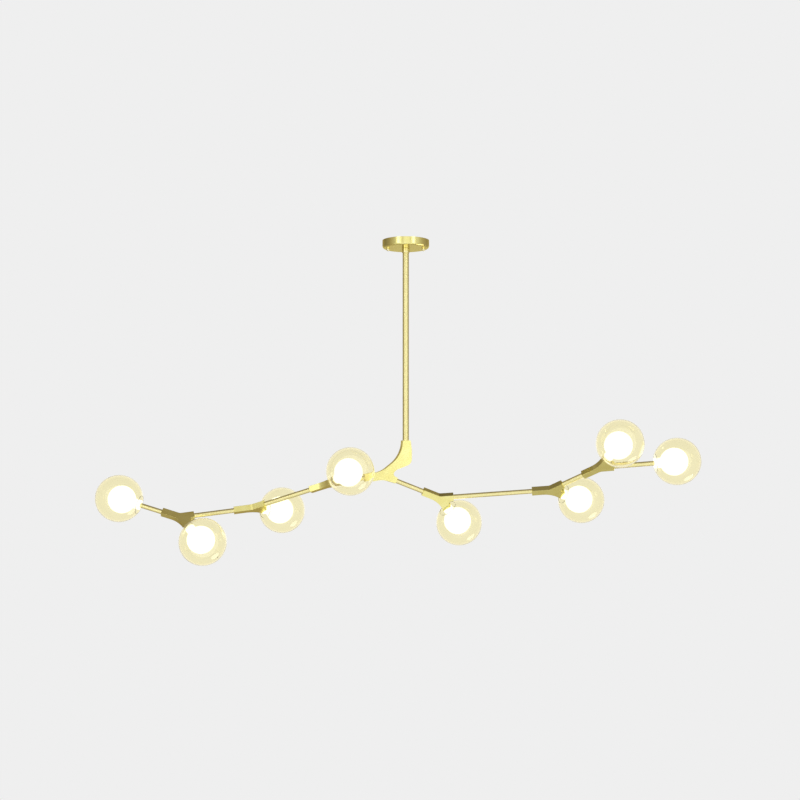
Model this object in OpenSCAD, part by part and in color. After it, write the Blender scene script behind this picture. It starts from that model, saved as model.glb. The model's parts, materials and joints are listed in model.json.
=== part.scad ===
// Branch chandelier: straight brass rods joined by fork castings, with double-glass globes.
// The origin is on the ceiling, on the axis of the stem. +Z is up, +X runs to the right.

/* [Canopy] */
// Outside diameter of the canopy
canopy_d = 120; // [110:5:160]
// Height of the canopy below the ceiling
canopy_h = 20; // [20:1:40]
// Wall of the canopy
canopy_wall = 1.5; // [1:0.1:2]
// Radius of the canopy's lower edge
canopy_round = 5; // [3:0.5:8]
// Distance between the two studs that carry the canopy
stud_spacing = 91; // [84:1:92]
// Diameter of a stud
stud_d = 4; // [3:0.5:5]
// Width of a cap nut across its round base
cap_nut_d = 9; // [8:0.5:11]
// Height of a cap nut's straight base, under its dome
cap_nut_h = 3; // [2:0.5:5]

/* [Ceiling strap] */
// Length of the strap
strap_l = 106; // [100:1:108]
// Width of the strap
strap_w = 20; // [18:1:24]
// Thickness of the strap
strap_t = 2; // [1.8:0.1:3]
// How far the middle of the strap lies below its ends
strap_drop = 5; // [5:0.5:9]
// Length of the strap's lowered middle
strap_middle = 44; // [36:1:46]
// Distance between the centres of the two ceiling slots
slot_spacing = 66; // [62:1:68]
// Length of a ceiling slot, end to end
slot_l = 10; // [8:0.5:12]
// Width of a ceiling slot
slot_w = 4.5; // [4:0.5:5]
// Size of the terminal block: along X, along Y and up
terminal_size = [28, 13, 9];

/* [Hanger and stem] */
// Outside diameter of the threaded hanger nipple
nipple_d = 10; // [9:0.5:11]
// Height of a hanger nut
hanger_nut_h = 3; // [2.5:0.5:5]
// Width of a hanger nut across its flats
hanger_nut_w = 14; // [13:1:17]
// Height of the nipple's head, which carries the stem
nipple_head_h = 2.5; // [2:0.5:4]
// Outside diameter of the stem
stem_d = 16; // [15:0.5:18]
// Wall of the stem
stem_wall = 1.5; // [1:0.1:1.5]
// Outside diameter of the collar under the canopy
collar_d = 19; // [18.5:0.5:26]
// Height of the collar
collar_h = 11; // [9:1:20]
// Thickness of the collar's top, which rests on the nipple's head
collar_top = 4; // [3:0.5:6]

/* [Elbow and first fork] */
// Height from the ceiling down to the centre of the first fork
drop = 603; // [450:1:900]
// Distance from the stem's axis to the centre of the first fork
elbow_reach = 60.5; // [56:0.5:70]
// Turn of the whole branch about the stem, seen from above
branch_turn = 14.5; // [-180:0.5:180]
// Tilt of the first fork's long arm above level
fork_lean = 8.7; // [0:0.1:12]
// Width of the elbow round the stem
elbow_w = 20.5; // [20:0.5:26]
// Thickness of the elbow and of the first fork
elbow_t = 20; // [19:0.5:24]
// How far the elbow's outer corner stands out from the stem's axis
elbow_heel = 13.5; // [13:0.5:20]
// Radius of the elbow's outer corner
heel_round = 18; // [12:1:20]
// Width of the first fork's arms
first_arm_w = 21; // [19:0.5:22]
// Width of the first fork's lower arm at its end
first_rod_w = 15; // [14.5:0.5:19]
// Radius in the corners beside the first fork's long arm
first_round = 60; // [20:1:70]
// Depth of the stem's socket in the elbow
stem_socket = 20; // [14:1:24]
// Depth of the elbow's spigot in the first fork
spigot_l = 12; // [8:1:14]

/* [Fork castings] */
// Bend between a fork's long arm and each of its two short arms
bend = 30; // [28:1:33]
// Length of the long arm, from the fork's centre
long_arm = 47; // [44:0.5:56]
// Length of a short arm, from the fork's centre
short_arm = 37; // [36:0.5:42]
// Metal beside a rod, in the plane of the fork
side_wall = 2.5; // [2:0.1:3.5]
// Metal over a rod, across the plane of the fork
face_wall = 1.5; // [1:0.1:3]
// Width of the globe arm at its end
globe_arm_w = 23; // [21:0.5:25]
// Where the sweep to the globe arm begins, back along the long arm
sweep_start = 20; // [14:1:24]
// Radius in the corners beside the long arm
corner_round = 12; // [5:1:40]
// Radius in the crotch between the short arms
crotch_round = 8; // [5:0.5:10]
// Depth of a rod's socket
socket = 22; // [16:0.5:22]

/* [Rods] */
// Outside diameter of a rod
rod_d = 12; // [11.5:0.1:13]
// Bore of a rod
rod_bore = 9; // [7:0.5:9]
// Radial clearance where a rod turns in its socket
swivel_fit = 0.05; // [0.01:0.01:0.1]
// Width of the stop groove at a rod's turning end
groove_w = 3; // [2:0.5:4]
// Depth of the stop groove
groove_depth = 0.8; // [0.3:0.1:0.9]
// Distance between a rod's end and its stop groove
groove_set = 6; // [4:0.5:8]
// Left chain, distance from fork centre to fork centre, the last one to the rod's end
left_pitch = [146, 213, 185, 106];
// Right chain, distance from fork centre to fork centre, the last one to the rod's end
right_pitch = [161, 287, 142, 139];
// Turn of each left fork on the rod that carries it
left_swivel = [-71, -176, 105];
// Turn of each right fork on the rod that carries it
right_swivel = [34, 14, -179];

/* [Lamps] */
// Diameter of an outer globe
globe_d = 120; // [110:1:130]
// Wall of an outer globe
globe_wall = 2.2; // [1.6:0.1:3]
// Distance from the outer globe's flat to its centre
globe_flat = 55; // [50:0.5:56.5]
// Length of neck that shows between the arm and the outer globe
neck_show = 2.5; // [1:0.5:6]
// Diameter of an inner globe
inner_d = 70; // [66:1:80]
// How much nearer to the arm the inner globe's centre is
inner_set = 7.5; // [4:0.5:12]
// Wall of an inner globe and its neck
inner_wall = 1.8; // [1.4:0.1:2]
// Outside diameter of the neck
neck_d = 25; // [24.5:0.1:28]
// Thickness of the neck's closed base
neck_base = 2; // [1.5:0.1:3]
// Radius between neck and inner globe
neck_blend = 6; // [3:0.5:10]
// Length of the lamp holder's threaded tail
tail_l = 12; // [8:1:14]
// Height of the lamp holder's body, above its flange
holder_h = 16; // [12:1:20]
// Diameter of the lamp holder's body
holder_d = 18; // [17:0.5:19]
// Diameter of a bulb's glass
bulb_d = 16; // [14:0.5:17]
// Length of a bulb, from its seat in the holder
bulb_l = 46; // [38:1:50]

/* [Wiring] */
// Diameter of the sleeved wiring
wire_d = 5.4; // [4:0.1:6]
// Radial room round the wiring in the castings
wire_room = 0.3; // [0.2:0.1:0.5]

/* [Hidden] */
$fn = 72;

cut = 1;                                  // how far a cutting shape runs past a face
seat_gap = 0.3;                           // between pieces that turn against each other
head_gap = 0.1;                           // between the nipple's head and the collar
passage_d = wire_d + 2 * wire_room;       // wiring passage in castings, nipple and holders
cavity_d = passage_d + 2;                 // round cavity where passages meet
splice_d = wire_d + 1.4;                  // splice of the wiring in a cavity

brass = "#D9CB82";
steel = "#A9ABAD";
amber_glass = "#EDE0B8";
white_glass = "#FFFFFB";
black_plastic = "#2B2B2D";
wire_sleeve = "#E8E4DA";

// Canopy and hanger heights
strap_low = strap_drop + strap_t;                           // underside of the lowered middle
stud_nut_h = 3;                                             // hexagon that locks a stud
stud_nut_w = 7;
canopy_hole = nipple_d + 0.4;
collar_z = canopy_h + seat_gap;                             // top of the collar
stem_top = collar_z + collar_top;                           // where the stem meets the collar's top
head_z = stem_top + head_gap;                               // top of the nipple's head
nipple_head_d = stem_d - 2 * stem_wall - 0.6;
nipple_end = head_z + nipple_head_h;
nipple_top = 1.5;
window_z = strap_low + hanger_nut_h + passage_d / 2 + 0.5;   // where the wiring leaves the nipple
tab_w = 16;
terminal_y = hanger_nut_w / cos(30) / 2 + 4;                // near side of the terminal block

// Elbow: the stem, the globe arm's direction of the first fork, and the arc between them
tee_angle = fork_lean + bend;
first_arm_end = short_arm * [cos(tee_angle), sin(tee_angle)] - [elbow_reach, drop];
arm_side = first_arm_w / 2 * [-sin(tee_angle), cos(tee_angle)];
wall_run = (elbow_reach - elbow_w / 2 + first_arm_w / 2 * sin(tee_angle)) / cos(tee_angle);
corner_height = wall_run * sin(tee_angle) + first_arm_w / 2 * cos(tee_angle) - drop;
tangent_length = wall_run - short_arm;
elbow_top = corner_height + tangent_length;
inner_arc = tangent_length / tan((90 - tee_angle) / 2);
axis_meet = elbow_reach * tan(tee_angle) - drop;            // where the stem's axis meets the arm's
heel_angle = tee_angle - 18;                                // slope of the elbow's underside

// Forks
side_arm_w = rod_d + 2 * side_wall;
side_arm_t = rod_d + 2 * face_wall;
long_seat = long_arm - socket;                              // socket floor of a long arm
short_seat = short_arm - socket;                            // socket floor of a short arm
rod_end_gap = 0.5;                                          // between a turning rod and its floor

// Lamps, measured outward from the end of the arm
globe_z = neck_show + globe_flat;
inner_z = globe_z - inner_set;
flange_t = 2;
flange_d = neck_d - 2 * inner_wall - 0.6;
holder_z = neck_base + flange_t;
bulb_recess = 8;
bulb_z = holder_z + holder_h - bulb_recess;
bulb_base_d = 14;
bulb_base_h = 10;
wire_end = 5;                                               // how far wiring reaches into a holder

// ---------------------------------------------------------------- places

// Vertical plane of the elbow: X outward from the stem, Y up, Z to the front
module in_branch_plane() rotate([0, 0, branch_turn]) rotate([90, 0, 0]) children();

// Centre of the first fork, X along its long arm's line towards the stem
module at_first_fork() in_branch_plane() translate([-elbow_reach, -drop, 0]) rotate(fork_lean) children();

// Start of a rod at the fork that holds it: Z runs out along the rod
module along_left(n) {
    if (n == 1) at_first_fork() rotate(180) rotate([0, 90, 0]) children();
    else at_left(n - 1) rotate(bend) rotate([0, 90, 0]) children();
}

module along_right(n) {
    if (n == 1) at_first_fork() rotate(-bend) rotate([0, 90, 0]) children();
    else at_right(n - 1) rotate(bend) rotate([0, 90, 0]) children();
}

// Centre of a side fork: X goes on along the rod that carries it
module at_left(n)
    along_left(n) translate([0, 0, left_pitch[n - 1]]) rotate([0, -90, 0]) rotate([left_swivel[n - 1], 0, 0])
        children();

module at_right(n)
    along_right(n) translate([0, 0, right_pitch[n - 1]]) rotate([0, -90, 0])
        rotate([right_swivel[n - 1], 0, 0]) children();

// A left fork is turned round: its short arm takes the rod that carries it
module left_fork_pose() rotate(180 + bend) rotate([180, 0, 0]) children();

// End of a fork's globe arm, Z outward
module at_globe_arm() rotate(-bend) rotate([0, 90, 0]) translate([0, 0, short_arm]) children();

// A lamp of the left or right chain; the fourth one is on the last rod's end
module at_left_lamp(n) {
    if (n == 4) along_left(4) translate([0, 0, left_pitch[3]]) children();
    else at_left(n) left_fork_pose() at_globe_arm() children();
}

module at_right_lamp(n) {
    if (n == 4) along_right(4) translate([0, 0, right_pitch[3]]) children();
    else at_right(n) at_globe_arm() children();
}

// Lamps that share one fork's body: the third fork also carries the fourth lamp
function lamps_of(n) = n == 3 ? [3, 4] : [n];

// ---------------------------------------------------------------- shapes

// Bore along Z that also cuts through the face at its open end
module bore(d, h) cylinder(d = d, h = h + cut);

module hex_prism(across_flats, h) cylinder(d = across_flats / cos(30), h = h, $fn = 6);

module mirrored_pair(spacing) {
    for (side = [-1, 1]) translate([side * spacing / 2, 0, 0]) children();
}

// Slot outline that runs along X
module slot_outline(length, width) {
    square([length - width, width], center = true);
    for (side = [-1, 1]) translate([side * (length - width) / 2, 0]) circle(d = width);
}

// Fork seen face on: long arm along -X, rod arm up to the right, globe arm down to the right.
// Its straight sides are joined by arcs: one beside the rod arm, one in the crotch, and below
// them a long sweep where the globe arm widens to its end. The rod arm narrows evenly to its end.
module fork_outline(w, globe_w, rod_w, corner_r) {
    up = [cos(bend), sin(bend)];
    down = [cos(bend), -sin(bend)];
    across_rod = rod_w / 2 * [-sin(bend), cos(bend)];
    across_globe = globe_w / 2 * [-sin(bend), -cos(bend)];
    taper = atan((w - rod_w) / 2 / short_arm);
    slope = bend - taper;
    corner = w / 2 * [(1 - cos(bend)) / tan(slope) - sin(bend), 1];
    reach = corner_r * tan(slope / 2);
    lower_corner = w / 2 * [-tan(bend / 2), -1];
    lower_reach = corner_r * tan(bend / 2);
    outer_tip = short_arm * down + across_globe;
    sweep_run = outer_tip.x + sweep_start;
    sweep_fall = -w / 2 - outer_tip.y;
    sweep_r = (sweep_run * sweep_run + sweep_fall * sweep_fall) / (2 * sweep_fall);
    opening = 2 * bend + taper;
    inner_side = [cos(bend + taper), sin(bend + taper)];
    run = (pow(sin(bend), 2) * (globe_w - w) / 2 + pow(cos(bend), 2) * (globe_w + w) / 2) / sin(opening);
    crotch = w / 2 * [sin(bend), -cos(bend)] + run * inner_side;
    crotch_reach = crotch_round / tan(opening / 2);
    difference() {
        polygon(concat(
            [[-long_arm, -w / 2]],
            globe_w > w ? [[-sweep_start, -w / 2]]
                        : [lower_corner - [lower_reach, 0], lower_corner + lower_reach * down],
            [outer_tip, short_arm * down - across_globe],
            [crotch + crotch_reach * down, crotch + crotch_reach * inner_side],
            [short_arm * up - across_rod, short_arm * up + across_rod],
            [corner + reach * [cos(slope), sin(slope)], corner - [reach, 0], [-long_arm, w / 2]]
        ));
        translate(corner + [-reach, corner_r]) circle(r = corner_r, $fn = 180);
        translate(crotch + crotch_round / sin(opening / 2) * [cos(taper / 2), sin(taper / 2)])
            circle(r = crotch_round);
        if (globe_w > w) translate([-sweep_start, -w / 2 - sweep_r]) circle(r = sweep_r, $fn = 180);
        else translate(lower_corner - [lower_reach, corner_r]) circle(r = corner_r, $fn = 180);
    }
}

// Fork casting with its three sockets and the wiring passages that meet in its centre
module fork_casting(w, t, globe_w, rod_w, corner_r, long_bore, rod_bore_d, globe_bore, globe_depth) {
    difference() {
        translate([0, 0, -t / 2]) linear_extrude(t) fork_outline(w, globe_w, rod_w, corner_r);
        rotate([0, -90, 0]) {
            translate([0, 0, long_seat]) bore(long_bore, socket);
            cylinder(d = passage_d, h = long_arm);
        }
        rotate(bend) rotate([0, 90, 0]) {
            translate([0, 0, short_seat]) bore(rod_bore_d, socket);
            cylinder(d = passage_d, h = short_arm);
        }
        rotate(-bend) rotate([0, 90, 0]) {
            translate([0, 0, short_arm - globe_depth]) bore(globe_bore, globe_depth);
            cylinder(d = passage_d, h = short_arm);
        }
        sphere(d = cavity_d);
    }
}

// Tube along Z with a stop groove near its far end, or a threaded bore for a lamp there
module rod(length, lamp_end) {
    color(brass) difference() {
        cylinder(d = rod_d, h = length);
        translate([0, 0, -cut]) cylinder(d = rod_bore, h = length + 2 * cut);
        if (lamp_end) translate([0, 0, length - tail_l]) bore(nipple_d, tail_l);
        else translate([0, 0, length - groove_set - groove_w])
            difference() {
                cylinder(d = rod_d + cut, h = groove_w);
                translate([0, 0, -cut]) cylinder(d = rod_d - 2 * groove_depth, h = groove_w + 2 * cut);
            }
    }
}

// Half profile of a globe with a neck, base at Y = 0: the outer or the inner surface
module neck_profile(r, neck_r, blend) {
    blend_centre = [neck_r + blend, inner_z - sqrt(pow(r + blend, 2) - pow(neck_r + blend, 2))];
    touch = [0, inner_z] + r / (r + blend) * (blend_centre - [0, inner_z]);
    intersection() {
        union() {
            translate([0, inner_z]) circle(r = r, $fn = 120);
            square([neck_r, inner_z]);
            difference() {
                polygon([[0, blend_centre.y], blend_centre, touch, [0, inner_z]]);
                translate(blend_centre) circle(r = blend);
            }
        }
        square([2 * r, 4 * r]);
    }
}

// ---------------------------------------------------------------- ceiling parts

module ceiling_bracket() {
    half = strap_l / 2;
    leg_in = strap_middle / 2;
    leg_out = leg_in + strap_t;
    side = [[leg_out, 0], [half, 0], [half, -strap_t], [leg_out, -strap_t]];
    color(steel) difference() {
        union() {
            translate([0, strap_w / 2, 0]) rotate([90, 0, 0]) linear_extrude(strap_w) {
                for (m = [0, 1]) mirror([m, 0]) {
                    polygon(side);
                    translate([leg_in, -strap_low]) square([strap_t, strap_low]);
                }
                translate([-leg_in, -strap_low]) square([2 * leg_in, strap_t]);
            }
            translate([-tab_w / 2, 0, -strap_low]) cube([tab_w, terminal_y + terminal_size.y, strap_t]);
        }
        translate([0, 0, -strap_low - cut]) cylinder(d = nipple_d, h = strap_t + 2 * cut);
        translate([0, 0, -strap_t - cut]) {
            mirrored_pair(stud_spacing) cylinder(d = stud_d, h = strap_t + 2 * cut);
            mirrored_pair(slot_spacing) linear_extrude(strap_t + 2 * cut) slot_outline(slot_l, slot_w);
        }
    }
}

module bracket_studs() {
    color(steel) mirrored_pair(stud_spacing) {
        translate([0, 0, -canopy_h - cap_nut_h]) cylinder(d = stud_d, h = canopy_h + cap_nut_h - seat_gap);
        translate([0, 0, -strap_t - stud_nut_h]) hex_prism(stud_nut_w, stud_nut_h);
    }
}

module canopy_shape(r, round_r, h) {
    translate([0, -h]) square([r - round_r, h]);
    translate([0, round_r - h]) square([r, h - round_r]);
    intersection() {
        translate([r - round_r, round_r - h]) circle(r = round_r);
        translate([0, -h]) square([r, h]);
    }
}

module canopy() {
    color(brass) difference() {
        rotate_extrude($fn = 144) difference() {
            canopy_shape(canopy_d / 2, canopy_round, canopy_h);
            translate([0, cut])
                canopy_shape(canopy_d / 2 - canopy_wall, canopy_round - canopy_wall,
                             canopy_h - canopy_wall + cut);
        }
        translate([0, 0, -canopy_h - cut]) {
            cylinder(d = canopy_hole, h = canopy_wall + 2 * cut);
            mirrored_pair(stud_spacing) cylinder(d = stud_d + 0.4, h = canopy_wall + 2 * cut);
        }
    }
}

module canopy_nuts() {
    dome_r = (cap_nut_d - 1) / 2;
    color(brass) mirrored_pair(stud_spacing) translate([0, 0, -canopy_h]) mirror([0, 0, 1])
        rotate_extrude() difference() {
            union() {
                square([cap_nut_d / 2, cap_nut_h]);
                intersection() {
                    translate([0, cap_nut_h]) circle(r = dome_r);
                    translate([0, cap_nut_h]) square(dome_r);
                }
            }
            translate([0, -cut]) square([stud_d / 2, cap_nut_h + cut]);
        }
}

module terminal_block() {
    hole_d = 3.2;
    pitch = terminal_size.x / 3;
    color(black_plastic) translate([0, terminal_y + terminal_size.y / 2, -strap_low - terminal_size.z])
        difference() {
            translate([-terminal_size.x / 2, -terminal_size.y / 2, 0]) cube(terminal_size);
            for (i = [-1:1]) translate([i * pitch, 0, 0]) {
                translate([0, 0, -cut]) cylinder(d = hole_d, h = terminal_size.z / 2 + cut);
                translate([0, terminal_size.y / 2 + cut, terminal_size.z / 2]) rotate([90, 0, 0])
                    cylinder(d = hole_d, h = terminal_size.y / 2 + cut);
            }
        }
}

module hanger_nipple() {
    color(steel) difference() {
        union() {
            translate([0, 0, -nipple_end]) cylinder(d = nipple_d, h = nipple_end - nipple_top);
            translate([0, 0, -nipple_end]) cylinder(d = nipple_head_d, h = nipple_head_h);
        }
        translate([0, 0, -nipple_end - cut]) cylinder(d = passage_d, h = nipple_end + cut);
        translate([0, 0, -window_z]) rotate([-90, 0, 0]) cylinder(d = passage_d, h = nipple_d);
    }
}

module hanger_nuts() {
    color(steel) for (z = [-strap_drop, -strap_low - hanger_nut_h]) translate([0, 0, z])
        difference() {
            hex_prism(hanger_nut_w, hanger_nut_h);
            translate([0, 0, -cut]) cylinder(d = nipple_d, h = hanger_nut_h + 2 * cut);
        }
}

module wiring_canopy() {
    color(wire_sleeve) {
        translate([0, 0, -nipple_end]) cylinder(d = wire_d, h = nipple_end - window_z);
        translate([0, 0, -window_z]) {
            sphere(d = wire_d);
            rotate([-90, 0, 0]) cylinder(d = wire_d, h = terminal_y);
        }
    }
}

// ---------------------------------------------------------------- stem and first fork

module stem_collar() {
    color(brass) translate([0, 0, -collar_z]) mirror([0, 0, 1]) difference() {
        cylinder(d = collar_d, h = collar_h);
        translate([0, 0, -cut]) cylinder(d = nipple_d + 2 * swivel_fit, h = collar_h);
        translate([0, 0, collar_top]) bore(stem_d, collar_h - collar_top);
    }
}

module stem_tube() {
    length = -elbow_top - stem_top + stem_socket;
    color(brass) translate([0, 0, -stem_top - length]) difference() {
        cylinder(d = stem_d, h = length);
        translate([0, 0, -cut]) cylinder(d = stem_d - 2 * stem_wall, h = length + 2 * cut);
    }
}

// Elbow in its own plane: a plate with a long inner arc and a full round heel
module elbow_outline() {
    down = [cos(heel_angle), sin(heel_angle)];
    lower_corner = first_arm_end - arm_side;
    upper_corner = first_arm_end + arm_side;
    heel_x = elbow_heel - heel_round;
    run = (heel_x - lower_corner.x + heel_round * sin(heel_angle)) / cos(heel_angle);
    heel_touch = lower_corner + run * down;
    heel_centre = heel_touch + heel_round * [-sin(heel_angle), cos(heel_angle)];
    shoulder = (elbow_top + heel_centre.y) / 2;
    difference() {
        union() {
            polygon([
                [-elbow_w / 2, elbow_top], [elbow_w / 2, elbow_top], [elbow_heel, shoulder],
                [elbow_heel, heel_centre.y], heel_touch, lower_corner, upper_corner
            ]);
            translate(heel_centre) circle(r = heel_round);
        }
        translate([-elbow_w / 2 - inner_arc, elbow_top]) circle(r = inner_arc, $fn = 240);
    }
}

module stem_elbow() {
    color(brass) in_branch_plane() difference() {
        union() {
            translate([0, 0, -elbow_t / 2]) linear_extrude(elbow_t) elbow_outline();
            translate(first_arm_end) rotate(tee_angle + 180) rotate([0, 90, 0])
                cylinder(d = rod_d, h = spigot_l);
        }
        translate([0, elbow_top - stem_socket, 0]) rotate([-90, 0, 0]) bore(stem_d, stem_socket);
        translate([0, axis_meet, 0]) {
            sphere(d = cavity_d);
            rotate([-90, 0, 0]) cylinder(d = passage_d, h = elbow_top - axis_meet);
            rotate(tee_angle + 180) rotate([0, 90, 0])
                cylinder(d = passage_d, h = elbow_reach / cos(tee_angle));
        }
    }
}

// The first fork is turned over, so that its globe arm takes the elbow
module centre_joint() {
    color(brass) at_first_fork() rotate([180, 0, 0])
        fork_casting(first_arm_w, elbow_t, first_arm_w, first_rod_w, first_round, rod_d, rod_d, rod_d,
                     spigot_l);
}

module wiring_stem() {
    stem_run = -axis_meet - nipple_end - rod_end_gap;
    color(wire_sleeve) {
        in_branch_plane() translate([0, axis_meet, 0]) {
            sphere(d = splice_d);
            rotate([-90, 0, 0]) cylinder(d = wire_d, h = stem_run);
        }
        at_first_fork() {
            sphere(d = splice_d);
            rotate(bend) rotate([0, 90, 0]) cylinder(d = wire_d, h = elbow_reach / cos(tee_angle));
        }
        along_left(1) cylinder(d = wire_d, h = left_pitch[0] - short_seat - rod_end_gap);
        along_right(1) cylinder(d = wire_d, h = right_pitch[0] - long_seat - rod_end_gap);
    }
}

// ---------------------------------------------------------------- branches

module rod_left(n) {
    far = n == 4 ? left_pitch[3] : left_pitch[n - 1] - short_seat - rod_end_gap;
    along_left(n) translate([0, 0, long_seat]) rod(far - long_seat, n == 4);
}

module rod_right(n) {
    far = n == 4 ? right_pitch[3] : right_pitch[n - 1] - long_seat - rod_end_gap;
    along_right(n) translate([0, 0, short_seat]) rod(far - short_seat, n == 4);
}

// A side fork turns on the rod in one arm and holds the next rod in the other
module joint_left(n) {
    turning = rod_d + 2 * swivel_fit;
    color(brass) at_left(n) left_fork_pose()
        fork_casting(side_arm_w, side_arm_t, globe_arm_w, side_arm_w, corner_round, rod_d, turning,
                     nipple_d, tail_l);
}

module joint_right(n) {
    turning = rod_d + 2 * swivel_fit;
    color(brass) at_right(n)
        fork_casting(side_arm_w, side_arm_t, globe_arm_w, side_arm_w, corner_round, turning, rod_d,
                     nipple_d, tail_l);
}

module wiring_left(n) {
    rod_run = n == 3 ? left_pitch[3] + wire_end : left_pitch[n] - short_seat - rod_end_gap;
    color(wire_sleeve) {
        at_left(n) {
            sphere(d = splice_d);
            rotate([0, -90, 0]) cylinder(d = wire_d, h = short_seat);
            left_fork_pose() rotate(-bend) rotate([0, 90, 0]) cylinder(d = wire_d, h = short_arm + wire_end);
        }
        along_left(n + 1) cylinder(d = wire_d, h = rod_run);
    }
}

module wiring_right(n) {
    rod_run = n == 3 ? right_pitch[3] + wire_end : right_pitch[n] - long_seat - rod_end_gap;
    color(wire_sleeve) {
        at_right(n) {
            sphere(d = splice_d);
            rotate([0, -90, 0]) cylinder(d = wire_d, h = long_seat);
            rotate(-bend) rotate([0, 90, 0]) cylinder(d = wire_d, h = short_arm + wire_end);
        }
        along_right(n + 1) cylinder(d = wire_d, h = rod_run);
    }
}

// ---------------------------------------------------------------- lamp unit, Z outward from the arm

module lamp_holder() {
    color(brass) difference() {
        union() {
            translate([0, 0, -tail_l]) cylinder(d = nipple_d, h = tail_l + neck_base);
            translate([0, 0, neck_base]) cylinder(d = flange_d, h = flange_t);
            translate([0, 0, holder_z]) cylinder(d = holder_d, h = holder_h);
        }
        translate([0, 0, -tail_l - cut]) cylinder(d = passage_d, h = tail_l + wire_end + 2 * cut);
        translate([0, 0, bulb_z]) bore(bulb_base_d, bulb_recess);
    }
}

module bulb() {
    color(white_glass) translate([0, 0, bulb_z]) {
        cylinder(d = bulb_base_d, h = bulb_base_h);
        translate([0, 0, bulb_base_h]) cylinder(d = bulb_d, h = bulb_l - bulb_base_h - bulb_d / 2);
        translate([0, 0, bulb_l - bulb_d / 2]) sphere(d = bulb_d);
    }
}

module inner_globe() {
    color(white_glass) rotate_extrude() difference() {
        neck_profile(inner_d / 2, neck_d / 2, neck_blend);
        intersection() {
            neck_profile(inner_d / 2 - inner_wall, neck_d / 2 - inner_wall, neck_blend + inner_wall);
            translate([0, neck_base]) square(2 * inner_d);
        }
        translate([0, -cut]) square([nipple_d / 2, neck_base + 2 * cut]);
    }
}

module outer_globe() {
    color(amber_glass, 0.45) rotate_extrude() difference() {
        intersection() {
            translate([0, globe_z]) circle(d = globe_d, $fn = 144);
            translate([0, neck_show]) square(2 * globe_d);
        }
        intersection() {
            translate([0, globe_z]) circle(d = globe_d - 2 * globe_wall, $fn = 144);
            translate([0, neck_show + globe_wall]) square(2 * globe_d);
        }
        square([neck_d / 2, globe_z / 2]);
    }
}

// ---------------------------------------------------------------- nodes

ceiling_bracket();
bracket_studs();
canopy();
canopy_nuts();
terminal_block();
hanger_nipple();
hanger_nuts();
wiring_canopy();
stem_collar();
stem_tube();
stem_elbow();
centre_joint();
wiring_stem();

for (n = [1:4]) {
    rod_left(n);
    rod_right(n);
    at_left_lamp(n) outer_globe();
    at_right_lamp(n) outer_globe();
}

for (n = [1:3]) {
    joint_left(n);
    joint_right(n);
    wiring_left(n);
    wiring_right(n);
    for (lamp = lamps_of(n)) {
        at_left_lamp(lamp) inner_globe();
        at_left_lamp(lamp) lamp_holder();
        at_left_lamp(lamp) bulb();
        at_right_lamp(lamp) inner_globe();
        at_right_lamp(lamp) lamp_holder();
        at_right_lamp(lamp) bulb();
    }
}
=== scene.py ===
import json
import math

import bpy
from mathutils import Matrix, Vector


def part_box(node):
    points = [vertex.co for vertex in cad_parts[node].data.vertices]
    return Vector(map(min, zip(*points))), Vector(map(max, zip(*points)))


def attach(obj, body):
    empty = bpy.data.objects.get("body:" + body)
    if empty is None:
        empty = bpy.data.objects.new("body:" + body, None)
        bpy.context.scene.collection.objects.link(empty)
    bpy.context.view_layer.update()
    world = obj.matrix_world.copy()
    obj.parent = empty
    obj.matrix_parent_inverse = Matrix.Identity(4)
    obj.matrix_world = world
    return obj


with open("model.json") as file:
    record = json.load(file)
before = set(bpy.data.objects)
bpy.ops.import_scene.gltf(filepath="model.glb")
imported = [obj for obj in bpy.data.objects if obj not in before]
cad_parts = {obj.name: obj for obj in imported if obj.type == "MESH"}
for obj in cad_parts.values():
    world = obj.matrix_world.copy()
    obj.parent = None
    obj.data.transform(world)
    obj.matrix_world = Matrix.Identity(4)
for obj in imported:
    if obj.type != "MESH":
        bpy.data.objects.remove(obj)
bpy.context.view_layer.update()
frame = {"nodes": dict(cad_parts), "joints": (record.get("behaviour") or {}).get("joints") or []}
print("frame loaded,", len(frame["nodes"]), "nodes")

# sides of the branch; on each, three forks that swivel, four rods and four globes, counted from the
# middle outwards
branchSides = ("left", "right")
forkNumbers = (1, 2, 3)
rodNumbers = (1, 2, 3, 4)        # the globes have these too


def onBothSides(prefix, numbers):
    return [f"{prefix}_{side}_{n}" for side in branchSides for n in numbers]


def toLinear(hexColour):
    parts = [int(hexColour[i:i + 2], 16) / 255 for i in (1, 3, 5)]
    return (*[c / 12.92 if c <= 0.04045 else ((c + 0.055) / 1.055) ** 2.4 for c in parts], 1.0)


# each input is a constant for the socket, or another node's output to link to it
def feed(tree, node, inputs):
    for name, value in inputs.items():
        if isinstance(value, bpy.types.NodeSocket):
            tree.links.new(value, node.inputs[name])
        else:
            node.inputs[name].default_value = value


def addNode(tree, kind, inputs=None, **settings):
    node = tree.nodes.new(kind)
    for name, value in settings.items():
        setattr(node, name, value)
    feed(tree, node, inputs or {})
    return node


def addMath(tree, operation, *values):
    return addNode(tree, "ShaderNodeMath", dict(enumerate(values)), operation=operation).outputs[0]


def addRange(tree, value, start, end, low=0.0, high=1.0, blend="LINEAR"):
    return addNode(tree, "ShaderNodeMapRange", {
        "Value": value, "From Min": start, "From Max": end, "To Min": low, "To Max": high},
        interpolation_type=blend).outputs[0]


def newMaterial(name):
    material = bpy.data.materials.new(name)
    material.use_nodes = True
    tree = material.node_tree
    tree.nodes.clear()
    shader = addNode(tree, "ShaderNodeBsdfPrincipled")
    addNode(tree, "ShaderNodeOutputMaterial", {"Surface": shader.outputs[0]})
    place = addNode(tree, "ShaderNodeTexCoord").outputs["Object"]
    return material, tree, shader, place


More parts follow.
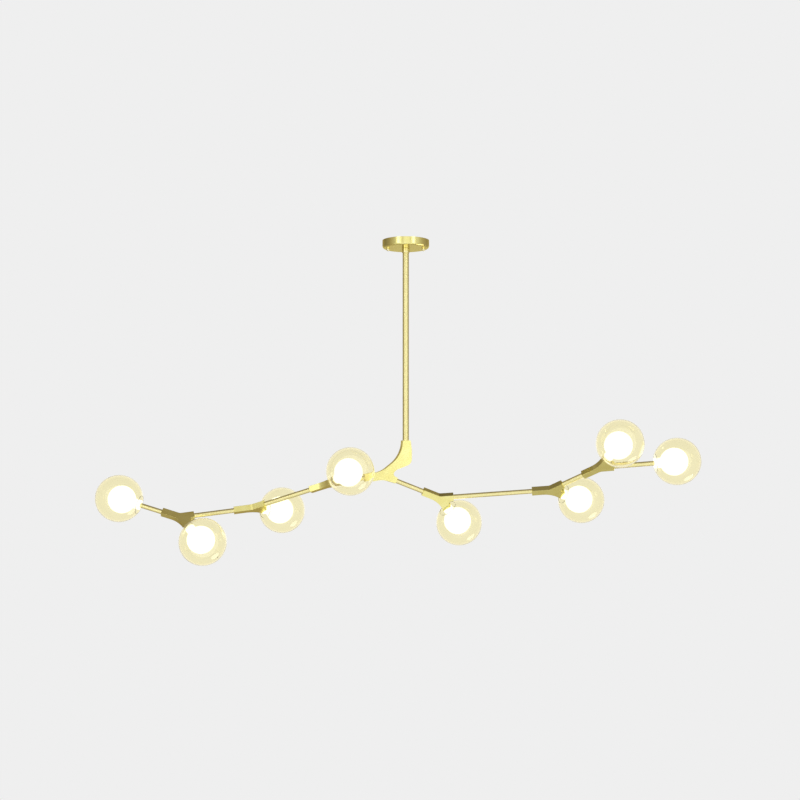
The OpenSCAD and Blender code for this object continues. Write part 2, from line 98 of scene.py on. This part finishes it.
# a fine relief of noise; grain holds its size and depth in mm
def addRelief(tree, shader, place, grain):
    noise = addNode(tree, "ShaderNodeTexNoise", {
        "Vector": place, "Scale": 1000 / grain["size"], "Detail": grain["detail"]}).outputs["Fac"]
    relief = addNode(tree, "ShaderNodeBump", {
        "Height": noise, "Strength": grain["strength"], "Distance": grain["depth"] / 1000}).outputs[0]
    feed(tree, shader, {"Normal": relief})


def dress(material, *nodeNames):
    for nodeName in nodeNames:
        mesh = frame["nodes"][nodeName].data
        mesh.materials.clear()
        mesh.materials.append(material)


# The photograph is taken level, from a little above the branch.
cameraView = {
    "lens": 52.04,               # mm
    "sensor": 36.0,              # mm
    "place": (-0.0148, -2.9715, -0.5593),
    "shiftUp": 0.0729,           # the horizon lies below the middle of the picture
}
cameraData = bpy.data.cameras.new("camera")
cameraData.lens = cameraView["lens"]
cameraData.sensor_width = cameraView["sensor"]
cameraData.shift_y = cameraView["shiftUp"]
camera = bpy.data.objects.new("camera", cameraData)
camera.location = cameraView["place"]
camera.rotation_euler = (math.radians(90), 0, 0)
bpy.context.scene.collection.objects.link(camera)
bpy.context.scene.camera = camera
bpy.context.scene.view_settings.view_transform = "Standard"
print("camera placed")


# Lacquered satin brass: a pale, slightly green yellow. The rods and the stem are drawn tube, brushed
# along their length, the canopy is turned, and the castings are tumbled. The collar and the cap nuts
# are turned too, and polished paler.
brassLook = {
    # pale and deep colour, roughness between and on the brushed lines, strength of their relief
    "cast": ("#FBF4A6", "#F6EC98", (0.16, 0.24), 0.10),
    "turned": ("#FBF4A6", "#F6EC98", (0.16, 0.24), 0.05),
    "fitting": ("#FCF8D4", "#FAF4C8", (0.20, 0.28), 0.05),
    "drawn": ("#FBF3B4", "#F9EFAF", (0.40, 0.46), 0.03),
    "patchSize": 22.0,           # mm, cloudy variation of the lacquer
    "patchDetail": 2.0,
    "patchContrast": (0.35, 0.65),
    "castGrain": 0.9,            # mm, left by the tumbling stones
    "brushWidth": 0.45,          # mm, drawn coarser than the real 0.1 mm so that it shows
    "brushLength": 24.0,         # mm
    "brushDepth": 0.04,          # mm
    "brushDetail": 3.0,
    "brushRaggedness": 0.6,
    "brushContrast": (0.3, 0.7),
    "lacquer": 0.15,             # weight of the clear coat
    "lacquerRoughness": 0.12,
    "edgeTint": "#FFF6C4",       # brass stays yellow where it is seen at a low angle
    "edgeWidth": 0.45,           # mm
    "edgeSamples": 6,
    "edgeTurn": (0.995, 0.9),    # cosine of the turn at which an edge starts and is full
    "edgePolish": 0.8,           # share of the roughness that handling leaves on an edge
}


# noise that follows how the surface was worked: along a rod, round a lathe's vertical axis, or evenly
def workedNoise(tree, place, grain, axis):
    look = brassLook
    across = 1000 / look["brushWidth"]
    if grain == "drawn":
        turn = Vector(axis).rotation_difference(Vector((0, 0, 1))).to_euler()
        start = addNode(tree, "ShaderNodeVectorRotate", {"Vector": place, "Rotation": turn},
                        rotation_type="EULER_XYZ").outputs[0]
        scale = (across, across, 1000 / look["brushLength"])
    elif grain == "cast":
        start = place
        scale = (1000 / look["castGrain"],) * 3
    else:
        split = addNode(tree, "ShaderNodeSeparateXYZ", {0: place}).outputs
        flat = addNode(tree, "ShaderNodeCombineXYZ", {0: split[0], 1: split[1]}).outputs[0]
        radius = addNode(tree, "ShaderNodeVectorMath", {0: flat}, operation="LENGTH").outputs["Value"]
        start = addNode(tree, "ShaderNodeCombineXYZ", {0: radius, 2: split[2]}).outputs[0]
        scale = (across,) * 3
    stretched = addNode(tree, "ShaderNodeVectorMath", {0: start, 1: scale}, operation="MULTIPLY").outputs[0]
    return addNode(tree, "ShaderNodeTexNoise", {
        "Vector": stretched, "Scale": 1.0, "Detail": look["brushDetail"],
        "Roughness": look["brushRaggedness"]}).outputs["Fac"]


def satinBrass(name, grain, axis=None):
    look = brassLook
    pale, deep, (low, high), reliefStrength = look[grain]
    material, tree, shader, place = newMaterial(name)
    brush = workedNoise(tree, place, grain, axis)
    cloud = addNode(tree, "ShaderNodeTexNoise", {
        "Vector": place, "Scale": 1000 / look["patchSize"], "Detail": look["patchDetail"]}).outputs["Fac"]
    colour = addNode(tree, "ShaderNodeMix", {
        "Factor": addRange(tree, cloud, *look["patchContrast"]), 6: toLinear(deep), 7: toLinear(pale)},
        data_type="RGBA").outputs[2]
    dull = addRange(tree, brush, *look["brushContrast"], low, high)
    # a rounded edge catches the light, and handling keeps it smoother than the faces
    soft = addNode(tree, "ShaderNodeBevel", {"Radius": look["edgeWidth"] / 1000},
                   samples=look["edgeSamples"]).outputs[0]
    straight = addNode(tree, "ShaderNodeNewGeometry").outputs["Normal"]
    facing = addNode(tree, "ShaderNodeVectorMath", {0: soft, 1: straight},
                     operation="DOT_PRODUCT").outputs["Value"]
    edge = addRange(tree, facing, *look["edgeTurn"])
    worn = addNode(tree, "ShaderNodeMix", {
        "Factor": edge, 2: dull, 3: low * look["edgePolish"]}).outputs[0]
    relief = addNode(tree, "ShaderNodeBump", {
        "Height": brush, "Normal": soft, "Strength": reliefStrength,
        "Distance": look["brushDepth"] / 1000}).outputs[0]
    feed(tree, shader, {
        "Base Color": colour, "Roughness": worn, "Normal": relief, "Metallic": 1.0,
        "Coat Weight": look["lacquer"], "Coat Roughness": look["lacquerRoughness"],
        "Specular Tint": toLinear(look["edgeTint"])})
    return material


# a rod's direction, from the middles of its two end rings; every rod runs more along X than upright
def rodAxis(nodeName):
    ringReach = 0.0125           # m, a little more than a rod's diameter
    points = [v.co for v in frame["nodes"][nodeName].data.vertices]
    low = min(points, key=lambda p: p.x)
    high = max(points, key=lambda p: p.x)
    rings = [[p for p in points if (p - end).length < ringReach] for end in (low, high)]
    middle = [sum(ring, Vector()) / len(ring) for ring in rings]
    return (middle[1] - middle[0]).normalized()


castBrass = satinBrass("tumbledBrass", "cast")
fittingBrass = satinBrass("polishedTurnedBrass", "fitting")
dress(castBrass, "stem_elbow", "centre_joint", *onBothSides("joint", forkNumbers),
      *onBothSides("lamp_holder", forkNumbers))
dress(satinBrass("turnedBrass", "turned"), "canopy")
dress(fittingBrass, "canopy_nuts", "stem_collar")
dress(satinBrass("brushedBrassStem", "drawn", (0, 0, 1)), "stem_tube")
for rod in onBothSides("rod", rodNumbers):
    dress(satinBrass(rod.replace("rod", "brushedBrass"), "drawn", rodAxis(rod)), rod)
print("brass finished")


# Mouth-blown soda-lime glass, melted with a pale amber tint: clear, with a faint wave in the wall.
# The wall carries a painted glow: it emits a faint warm light of its own, strongest at the rim.
amberLook = {
    "colour": "#FFFBE2",         # tint that light takes at each surface of the wall
    "ior": 1.5,
    "wave": {"size": 38.0, "depth": 0.12, "strength": 0.25, "detail": 1.0},
    "paintedBodyGlow": 0.007,           # painted glow: the wall emits a faint light of its own all over, standing for the inner globe's light that it scatters
    "paintedRimGlow": 0.36,             # painted glow added where the wall is seen edge on, as a painted bright rim
    "rimBlend": 0.5,
    "rimFalloff": 5.0,
    # colour of the painted glow
    "paintedGlowColour": "#FFF3C8",
}
# Opal glass with an etched surface, lit from inside: an even, soft white. The lamps are brighter.
opalLook = {
    "colour": "#FFFFFA",
    "globeGlow": 1.15,
    "lampGlow": 3.0,
    "roughness": 0.45,
    "etching": {"size": 0.8, "depth": 0.05, "strength": 0.1, "detail": 2.0},
}


def amberGlass():
    look = amberLook
    material, tree, shader, place = newMaterial("amberBlownGlass")
    addRelief(tree, shader, place, look["wave"])
    # painted rim glow: emission that grows where the wall is seen edge on
    facing = addNode(tree, "ShaderNodeLayerWeight", {"Blend": look["rimBlend"]}).outputs["Facing"]
    rim = addMath(tree, "POWER", facing, look["rimFalloff"])
    feed(tree, shader, {
        "Base Color": toLinear(look["colour"]), "Transmission Weight": 1.0, "Roughness": 0.0,
        "IOR": look["ior"], "Emission Color": toLinear(look["paintedGlowColour"]),
        "Emission Strength": addMath(tree, "MULTIPLY_ADD", rim, look["paintedRimGlow"], look["paintedBodyGlow"])})
    return material


def opalGlass(name, glow):
    look = opalLook
    material, tree, shader, place = newMaterial(name)
    addRelief(tree, shader, place, look["etching"])
    feed(tree, shader, {
        "Base Color": toLinear(look["colour"]), "Roughness": look["roughness"],
        "Emission Color": toLinear(look["colour"]), "Emission Strength": glow})
    return material


dress(amberGlass(), *onBothSides("outer_globe", rodNumbers))
dress(opalGlass("litOpalGlass", opalLook["globeGlow"]), *onBothSides("inner_globe", forkNumbers))
dress(opalGlass("litCapsuleGlass", opalLook["lampGlow"]), *onBothSides("bulb", forkNumbers))
print("glass finished")


# Zinc-plated steel, stamped or turned: cool grey with a soft crystalline mottle.
zincLook = {
    "colour": "#C6C9CB",
    "shade": "#A9ADB0",
    "mottle": 3.0,               # mm
    "roughness": 0.34,
}
# Injection-moulded nylon, black, with a fine spark-eroded texture.
nylonLook = {
    "colour": "#242426",
    "roughness": 0.5,
    "grain": {"size": 0.5, "depth": 0.05, "strength": 0.3, "detail": 2.0},
}
# Extruded silicone sleeve, off-white, a little waxy.
sleeveLook = {
    "colour": "#E4E0D4",
    "roughness": 0.42,
    "grain": {"size": 1.2, "depth": 0.05, "strength": 0.3, "detail": 2.0},
}


def zincSteel():
    look = zincLook
    material, tree, shader, place = newMaterial("zincPlatedSteel")
    cells = addNode(tree, "ShaderNodeTexVoronoi", {
        "Vector": place, "Scale": 1000 / look["mottle"]}).outputs["Color"]
    colour = addNode(tree, "ShaderNodeMix", {
        "Factor": cells, 6: toLinear(look["shade"]), 7: toLinear(look["colour"])},
        data_type="RGBA").outputs[2]
    feed(tree, shader, {"Base Color": colour, "Metallic": 1.0, "Roughness": look["roughness"]})
    return material


def mouldedPlastic(name, look):
    material, tree, shader, place = newMaterial(name)
    addRelief(tree, shader, place, look["grain"])
    feed(tree, shader, {"Base Color": toLinear(look["colour"]), "Roughness": look["roughness"]})
    return material


zinc = zincSteel()
dress(zinc, "ceiling_bracket", "bracket_studs", "hanger_nipple", "hanger_nuts")
dress(mouldedPlastic("mouldedNylon", nylonLook), "terminal_block")
dress(mouldedPlastic("siliconeSleeve", sleeveLook), "wiring_canopy", "wiring_stem",
      *onBothSides("wiring", forkNumbers))
print("fittings finished")


# Stop and clamp screws stand a little proud of the castings, on the side that faces away from the
# camera. They repeat at each swivel, so one tree sets a screw on each point of a small mesh.
screwLook = {
    "width": 3.6,                # mm
    "stand": 0.35,               # mm
    "socket": 1.6,               # mm across the flats of the key socket
    "sides": 32,
    "colour": "#8E7B3C",
    "grain": 0.7,                # mm, of the darkened surface
    "grainDetail": 2.0,
    "roughness": (0.28, 0.45),
    "fromFork": {"left": (23.0, 31.0), "right": (33.0, 41.0)},   # mm along the rod from the fork's centre
    "faceHeight": 7.5,           # mm from the rod's axis to the casting's face
    "elbowFace": 10.0,           # mm from the stem's axis to the elbow's face
    "underElbowTop": (7.0, 15.0),        # mm
    "overCollarFoot": 3.8,       # mm
}
# Rolled metric threads on the hanger and on the studs; all in mm but the turns.
threadLook = {
    "hanger": {"radius": 5.0, "pitch": 1.0, "turns": 1.5, "depth": 0.28},
    "stud": {"radius": 2.0, "pitch": 0.7, "turns": 18.0, "depth": 0.18},
    "overCanopyFoot": 1.8,       # where the threads start, inside the canopy's floor
    "studInset": 4.0,            # from the outer corner of a stud's lock nut to the stud's axis
    "stepsPerTurn": 24,
}


def darkenedBrass():
    look = screwLook
    material, tree, shader, place = newMaterial("darkenedBrassScrew")
    grain = addNode(tree, "ShaderNodeTexNoise", {
        "Vector": place, "Scale": 1000 / look["grain"], "Detail": look["grainDetail"]}).outputs["Fac"]
    feed(tree, shader, {
        "Base Color": toLinear(look["colour"]), "Metallic": 1.0,
        "Roughness": addRange(tree, grain, 0.0, 1.0, *look["roughness"])})
    return material


def newTree(name, sizes):
    tree = bpy.data.node_groups.new(name, "GeometryNodeTree")
    tree.interface.new_socket("Geometry", in_out="INPUT", socket_type="NodeSocketGeometry")
    for label, value in sizes.items():
        socket = tree.interface.new_socket(label, in_out="INPUT", socket_type="NodeSocketFloat")
        socket.default_value = value
    tree.interface.new_socket("Finish", in_out="INPUT", socket_type="NodeSocketMaterial")
    tree.interface.new_socket("Geometry", in_out="OUTPUT", socket_type="NodeSocketGeometry")
    return tree, addNode(tree, "NodeGroupInput").outputs


# one copy of the shape on each given point, turned by the rotation if there is one
def closeTree(tree, given, shape, turn=None):
    inputs = {"Points": given["Geometry"], "Instance": shape}
    if turn:
        inputs["Rotation"] = turn
    placed = addNode(tree, "GeometryNodeInstanceOnPoints", inputs).outputs[0]
    whole = addNode(tree, "GeometryNodeRealizeInstances", {"Geometry": placed}).outputs[0]
    finished = addNode(tree, "GeometryNodeSetMaterial", {
        "Geometry": whole, "Material": given["Finish"]}).outputs[0]
    addNode(tree, "NodeGroupOutput", {"Geometry": finished})
    return tree


def screwTree():
    look = screwLook
    cornerShare = 0.577          # a hexagon's corner radius, as a share of its width across the flats
    tree, given = newTree("stopScrews", {
        "Width": look["width"] / 1000, "Stand": look["stand"] / 1000, "Socket": look["socket"] / 1000})
    depth = addMath(tree, "MULTIPLY", given["Stand"], 2.0)      # half of it stands out of the casting

    def prism(sides, radius):
        return addNode(tree, "GeometryNodeMeshCylinder", {
            "Vertices": sides, "Side Segments": 1, "Fill Segments": 1, "Radius": radius,
            "Depth": depth}).outputs["Mesh"]

    body = prism(look["sides"], addMath(tree, "MULTIPLY", given["Width"], 0.5))
    key = prism(6, addMath(tree, "MULTIPLY", given["Socket"], cornerShare))
    lift = addNode(tree, "ShaderNodeCombineXYZ", {2: given["Stand"]}).outputs[0]
    key = addNode(tree, "GeometryNodeTransform", {"Geometry": key, "Translation": lift}).outputs[0]
    screw = addNode(tree, "GeometryNodeMeshBoolean", {"Mesh 1": body, "Mesh 2": key},
                    operation="DIFFERENCE").outputs["Mesh"]
    outward = addNode(tree, "GeometryNodeInputNamedAttribute", {"Name": "outward"},
                      data_type="FLOAT_VECTOR").outputs[0]
    turn = addNode(tree, "FunctionNodeAlignRotationToVector", {"Vector": outward}, axis="Z").outputs[0]
    return closeTree(tree, given, screw, turn)


def threadSizes(thread):
    return {"Radius": thread["radius"] / 1000, "Pitch": thread["pitch"] / 1000,
            "Turns": thread["turns"], "Depth": thread["depth"] / 1000}


# a triangular ridge, swept along a helix that climbs from its point
def threadTree():
    tree, given = newTree("rolledThread", threadSizes(threadLook["hanger"]))
    helix = addNode(tree, "GeometryNodeCurveSpiral", {
        "Resolution": threadLook["stepsPerTurn"], "Rotations": given["Turns"],
        "Start Radius": given["Radius"], "End Radius": given["Radius"],
        "Height": addMath(tree, "MULTIPLY", given["Pitch"], given["Turns"])}).outputs[0]
    ridge = addNode(tree, "GeometryNodeCurvePrimitiveCircle", {
        "Resolution": 3, "Radius": given["Depth"]}, mode="RADIUS").outputs[0]
    thread = addNode(tree, "GeometryNodeCurveToMesh", {
        "Curve": helix, "Profile Curve": ridge, "Fill Caps": True}).outputs[0]
    return closeTree(tree, given, thread)


def grow(name, tree, points, outward, finish, body, **sizes):
    seed = bpy.data.meshes.new(name + "Points")
    seed.from_pydata(points, [], [])
    side = seed.attributes.new("outward", "FLOAT_VECTOR", "POINT")
    for i, direction in enumerate(outward):
        side.data[i].vector = direction
    source = bpy.data.objects.new(name + "Points", seed)
    bpy.context.scene.collection.objects.link(source)
    modifier = source.modifiers.new("grow", "NODES")
    modifier.node_group = tree
    given = {**sizes, "Finish": finish}
    for item in tree.interface.items_tree:
        if item.in_out == "INPUT" and item.name in given:
            modifier[item.identifier] = given[item.name]
    shown = source.evaluated_get(bpy.context.evaluated_depsgraph_get())
    piece = bpy.data.objects.new(name, bpy.data.meshes.new_from_object(shown))
    bpy.context.scene.collection.objects.link(piece)
    bpy.data.objects.remove(source)
    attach(piece, body)
    return piece


# the casting's broad faces: the direction that most of its area looks along, away from the camera
def faceNormal(nodeName):
    areas = {}
    for face in frame["nodes"][nodeName].data.polygons:
        key = tuple(round(c, 2) for c in face.normal)
        areas[key] = areas.get(key, 0) + face.area
    normal = Vector(max(areas, key=areas.get)).normalized()
    return normal if normal.y > 0 else -normal


darkBrass = darkenedBrass()
screws = screwTree()
hinges = {j["child"]: j for j in frame["joints"]}
for side in branchSides:
    for n in forkNumbers:
        hinge = hinges[f"{side}_{n}"]
        centre, along = Vector(hinge["pos_m"]), Vector(hinge["axis"])
        out = faceNormal(f"joint_{side}_{n}")
        points = [centre - along * d / 1000 + out * screwLook["faceHeight"] / 1000
                  for d in screwLook["fromFork"][side]]
        piece = grow(f"stop_screws_{side}_{n}", screws, points, [out] * 2, darkBrass, f"{side}_{n}")

# the elbow is clamped to the stem by two screws, and the collar by one
elbowBack = faceNormal("stem_elbow")
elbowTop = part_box("stem_elbow")[1].z
collarLow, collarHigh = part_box("stem_collar")
stemPoints = [elbowBack * screwLook["elbowFace"] / 1000 + Vector((0, 0, elbowTop - drop / 1000))
              for drop in screwLook["underElbowTop"]]
stemPoints.append(Vector((0, (collarHigh.y - collarLow.y) / 2,
                          collarLow.z + screwLook["overCollarFoot"] / 1000)))
stemScrews = grow("stop_screws_stem", screws, stemPoints,
                  [elbowBack, elbowBack, Vector((0, 1, 0))], darkBrass, "stem")

threads = threadTree()
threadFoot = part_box("canopy")[0].z + threadLook["overCanopyFoot"] / 1000
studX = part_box("bracket_studs")[1].x - threadLook["studInset"] / 1000
hangerThread = grow("hanger_thread", threads, [(0, 0, threadFoot)], [(0, 0, 1)], zinc, "ceiling",
                    **threadSizes(threadLook["hanger"]))
studThreads = grow("stud_threads", threads, [(-studX, 0, threadFoot), (studX, 0, threadFoot)],
                   [(0, 0, 1)] * 2, zinc, "ceiling", **threadSizes(threadLook["stud"]))
print("screws and threads grown")


# A pale studio: a plain backdrop and a floor under the lamp. The light comes from the front, with two
# upright softboxes and a narrow black flag beside each, and falls off towards the ceiling, the sides
# and the wall behind, which brass shows as warm dark bands.
studioLook = {
    "backdrop": "#EFEFEF",
    # share of the light, by how far its direction lies from the front (0) to the wall behind (1)
    "frontToBack": ((0.0, 1.0), (0.27, 1.0), (0.50, 0.52), (0.62, 0.42), (0.80, 0.31), (0.94, 0.31),
                    (1.0, 0.60)),
    # the same from the left (0) to the right (1)
    "leftToRight": ((0.0, 0.47), (0.10, 0.47), (0.15, 0.71), (0.40, 1.0), (0.74, 1.0), (0.80, 0.93),
                    (0.89, 0.69)),
    "flags": ((0.34, 1.0), (0.365, 0.62), (0.385, 0.62), (0.41, 1.0),
              (0.66, 1.0), (0.68, 0.62), (0.70, 0.62), (0.72, 1.0)),
    "flagTop": (0.20, 0.40),     # sine of the height at which the flags start to fade and are gone
    "overhead": 0.28,            # share of the light that comes from straight above
    "overheadEdge": (0.60, 0.80),
    # a pale strip straight behind the light, for edges seen at a glancing angle
    "stripLevel": 0.92,
    "stripHeight": (0.09, 0.13),
    "stripDepth": (0.92, 0.96),
    "lowLamp": (0.60, 0.28, -0.75),      # direction of a small lamp, low on the right, for the glass
    "lowLampEdge": (0.965, 0.980),       # cosine of its outer and inner edge
    "lowLampGlow": 9.0,
    "bounce": ((0.0, "#38342C"), (0.3, "#A69A88"), (0.6, "#CAC5B4"), (1.0, "#FFFFFF")),
    "floorDrop": 2.4,            # m below the ceiling
    "floorRadius": 3.0,          # m
    "floorSides": 96,
    "floorColour": "#E6E6E6",
    "floorRoughness": 0.8,
    "floorPlain": 0.8,           # share of the backdrop's plain colour; the rest is lit, with the shadow
    "floorFade": (0.6, 0.97),    # shares of the radius between which it becomes all plain
    "softboxes": {               # place, then width and height, in m
        "softboxLeft": ((-1.85, -2.5, -0.2), (0.9, 2.0)),
        "softboxRight": ((1.9, -2.4, -0.2), (0.6, 2.0)),
    },
    "softboxAim": (0, 0, -0.4),
    "softboxGlow": 1.25,
}


# the plain backdrop shows to rays from the camera and to those that pass through glass
def plainRays(tree):
    rays = addNode(tree, "ShaderNodeLightPath").outputs
    direct, passed = rays["Is Camera Ray"], rays["Is Transmission Ray"]
    return direct, addMath(tree, "MAXIMUM", direct, passed)


def studioWorld():
    look = studioLook
    world = bpy.data.worlds.new("studio")
    bpy.context.scene.world = world
    world.use_nodes = True
    tree = world.node_tree
    tree.nodes.clear()
    direction = addNode(tree, "ShaderNodeTexCoord").outputs["Generated"]
    split = addNode(tree, "ShaderNodeSeparateXYZ", {0: direction}).outputs

    def ramp(value, stops):
        node = addNode(tree, "ShaderNodeValToRGB", {"Fac": value})
        points = node.color_ramp.elements
        while len(points) < len(stops):
            points.new(0.5)
        for point, (position, colour) in zip(points, stops):
            point.position = position
            point.color = toLinear(colour) if isinstance(colour, str) else (colour, colour, colour, 1)
        return node.outputs[0]

    across = addRange(tree, split[0], -1.0, 1.0)
    depth = addRange(tree, split[1], -1.0, 1.0)
    height = addMath(tree, "ABSOLUTE", split[2])
    above = addRange(tree, split[2], *look["overheadEdge"], 1.0, look["overhead"], "SMOOTHSTEP")
    overFlags = addRange(tree, height, *look["flagTop"])
    flagged = addMath(tree, "MAXIMUM", ramp(across, look["flags"]), overFlags)
    beside = ramp(across, look["leftToRight"])
    level = ramp(depth, look["frontToBack"])
    for share in (above, beside, flagged):
        level = addMath(tree, "MULTIPLY", level, share)
    low = addRange(tree, height, *look["stripHeight"], 1.0, 0.0)
    behind = addRange(tree, depth, *look["stripDepth"], 0.0, look["stripLevel"])
    level = addMath(tree, "MAXIMUM", level, addMath(tree, "MULTIPLY", low, behind))
    toward = addNode(tree, "ShaderNodeVectorMath", {
        0: direction, 1: look["lowLamp"]}, operation="DOT_PRODUCT").outputs["Value"]
    strength = addRange(tree, toward, *look["lowLampEdge"], 1.0, look["lowLampGlow"], "SMOOTHSTEP")
    light = addNode(tree, "ShaderNodeBackground", {
        "Color": ramp(level, look["bounce"]), "Strength": strength}).outputs[0]
    # the camera doesn't see the low lamp itself, only its glints
    direct, plain = plainRays(tree)
    hidden = addNode(tree, "ShaderNodeMix", {"Factor": direct, 2: strength, 3: 1.0}).outputs[0]
    backdrop = addNode(tree, "ShaderNodeBackground", {
        "Color": toLinear(look["backdrop"]), "Strength": hidden}).outputs[0]
    both = addNode(tree, "ShaderNodeMixShader", {0: plain, 1: light, 2: backdrop}).outputs[0]
    addNode(tree, "ShaderNodeOutputWorld", {"Surface": both})


def studioFloor():
    look = studioLook
    radius, sides = look["floorRadius"], look["floorSides"]
    rim = [(radius * math.cos(math.tau * i / sides), radius * math.sin(math.tau * i / sides),
            -look["floorDrop"]) for i in range(sides)]
    mesh = bpy.data.meshes.new("floor")
    mesh.from_pydata(rim, [], [tuple(range(sides))])
    floor = bpy.data.objects.new("floor", mesh)
    bpy.context.scene.collection.objects.link(floor)
    material, tree, shader, place = newMaterial("matteFloor")
    feed(tree, shader, {
        "Base Color": toLinear(look["floorColour"]), "Roughness": look["floorRoughness"]})
    fromMiddle = addNode(tree, "ShaderNodeVectorMath", {
        0: place, 1: (0, 0, look["floorDrop"])}, operation="ADD").outputs[0]
    distance = addNode(tree, "ShaderNodeVectorMath", {0: fromMiddle}, operation="LENGTH").outputs["Value"]
    start, end = look["floorFade"]
    fade = addRange(tree, distance, radius * start, radius * end, look["floorPlain"], 1.0, "SMOOTHSTEP")
    share = addMath(tree, "MULTIPLY", plainRays(tree)[1], fade)
    plain = addNode(tree, "ShaderNodeEmission", {
        "Color": toLinear(look["backdrop"]), "Strength": 1.0}).outputs[0]
    both = addNode(tree, "ShaderNodeMixShader", {0: share, 1: shader.outputs[0], 2: plain}).outputs[0]
    feed(tree, tree.nodes["Material Output"], {"Surface": both})
    mesh.materials.append(material)
    floor.visible_glossy = False


def softbox(name, place, size):
    data = bpy.data.lights.new(name, "AREA")
    data.shape = "RECTANGLE"
    data.size, data.size_y = size
    data.energy = studioLook["softboxGlow"] * math.pi * size[0] * size[1]
    lamp = bpy.data.objects.new(name, data)
    lamp.location = place
    aim = Vector(studioLook["softboxAim"]) - Vector(place)
    lamp.rotation_euler = aim.to_track_quat("-Z", "Y").to_euler()
    lamp.visible_camera = False
    bpy.context.scene.collection.objects.link(lamp)


studioWorld()
studioFloor()
for name, (place, size) in studioLook["softboxes"].items():
    softbox(name, place, size)
print("studio lit")
